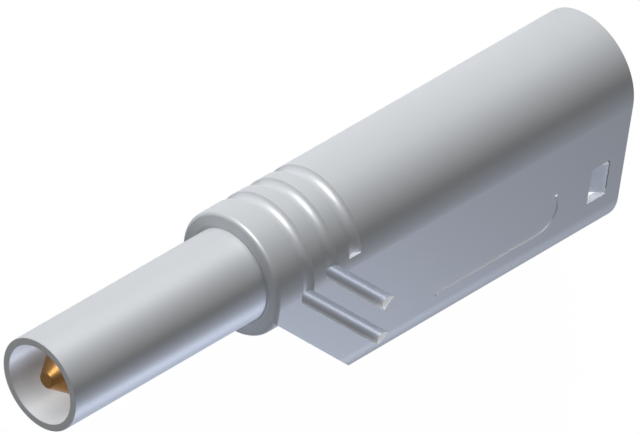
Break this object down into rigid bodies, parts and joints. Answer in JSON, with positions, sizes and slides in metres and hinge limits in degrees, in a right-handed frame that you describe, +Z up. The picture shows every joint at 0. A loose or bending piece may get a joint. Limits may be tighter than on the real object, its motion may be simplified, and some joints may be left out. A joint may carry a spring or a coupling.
{
  "type": "banana plug",
  "caption": "Stackable safety test plug: a rigid round shroud over a sprung pin, and a grip shell with finger grooves, side windows and a wing that holds the wire clamp.",
  "frame": {"origin": "on the plug's axis, at the front face of the grip's collar, where the rigid shroud leaves the grip", "axes": "+X along the plug's axis from the mouth to the rear, -Y towards the wing that holds the wire clamp, +Z up, away from the flat side that the plug lies on"},
  "size_m": [0.0597, 0.0187, 0.0106],
  "materials": {
    "grip": "satin moulded polyamide",
    "insert": "satin moulded polyamide",
    "contact": "turned, satin",
    "spring": "rolled spring copper alloy",
    "guard": "satin moulded polyamide",
    "terminal": "milled bar",
    "screw": "zinc plated"
  },
  "bodies": {
    "plug": {"housing": "grip", "carrier": "insert", "contact_body": "contact", "contact_spring": "spring", "socket_guard": "guard", "terminal_block": "terminal"},
    "screw": {"clamp_screw": "screw"}
  },
  "joints": [
    {"name": "clamp_screw_drive", "type": "slide", "parent": "plug", "child": "screw", "axis": [0, 0.9871, 0.1601], "range_m": [0, 0.0017]}
  ]
}
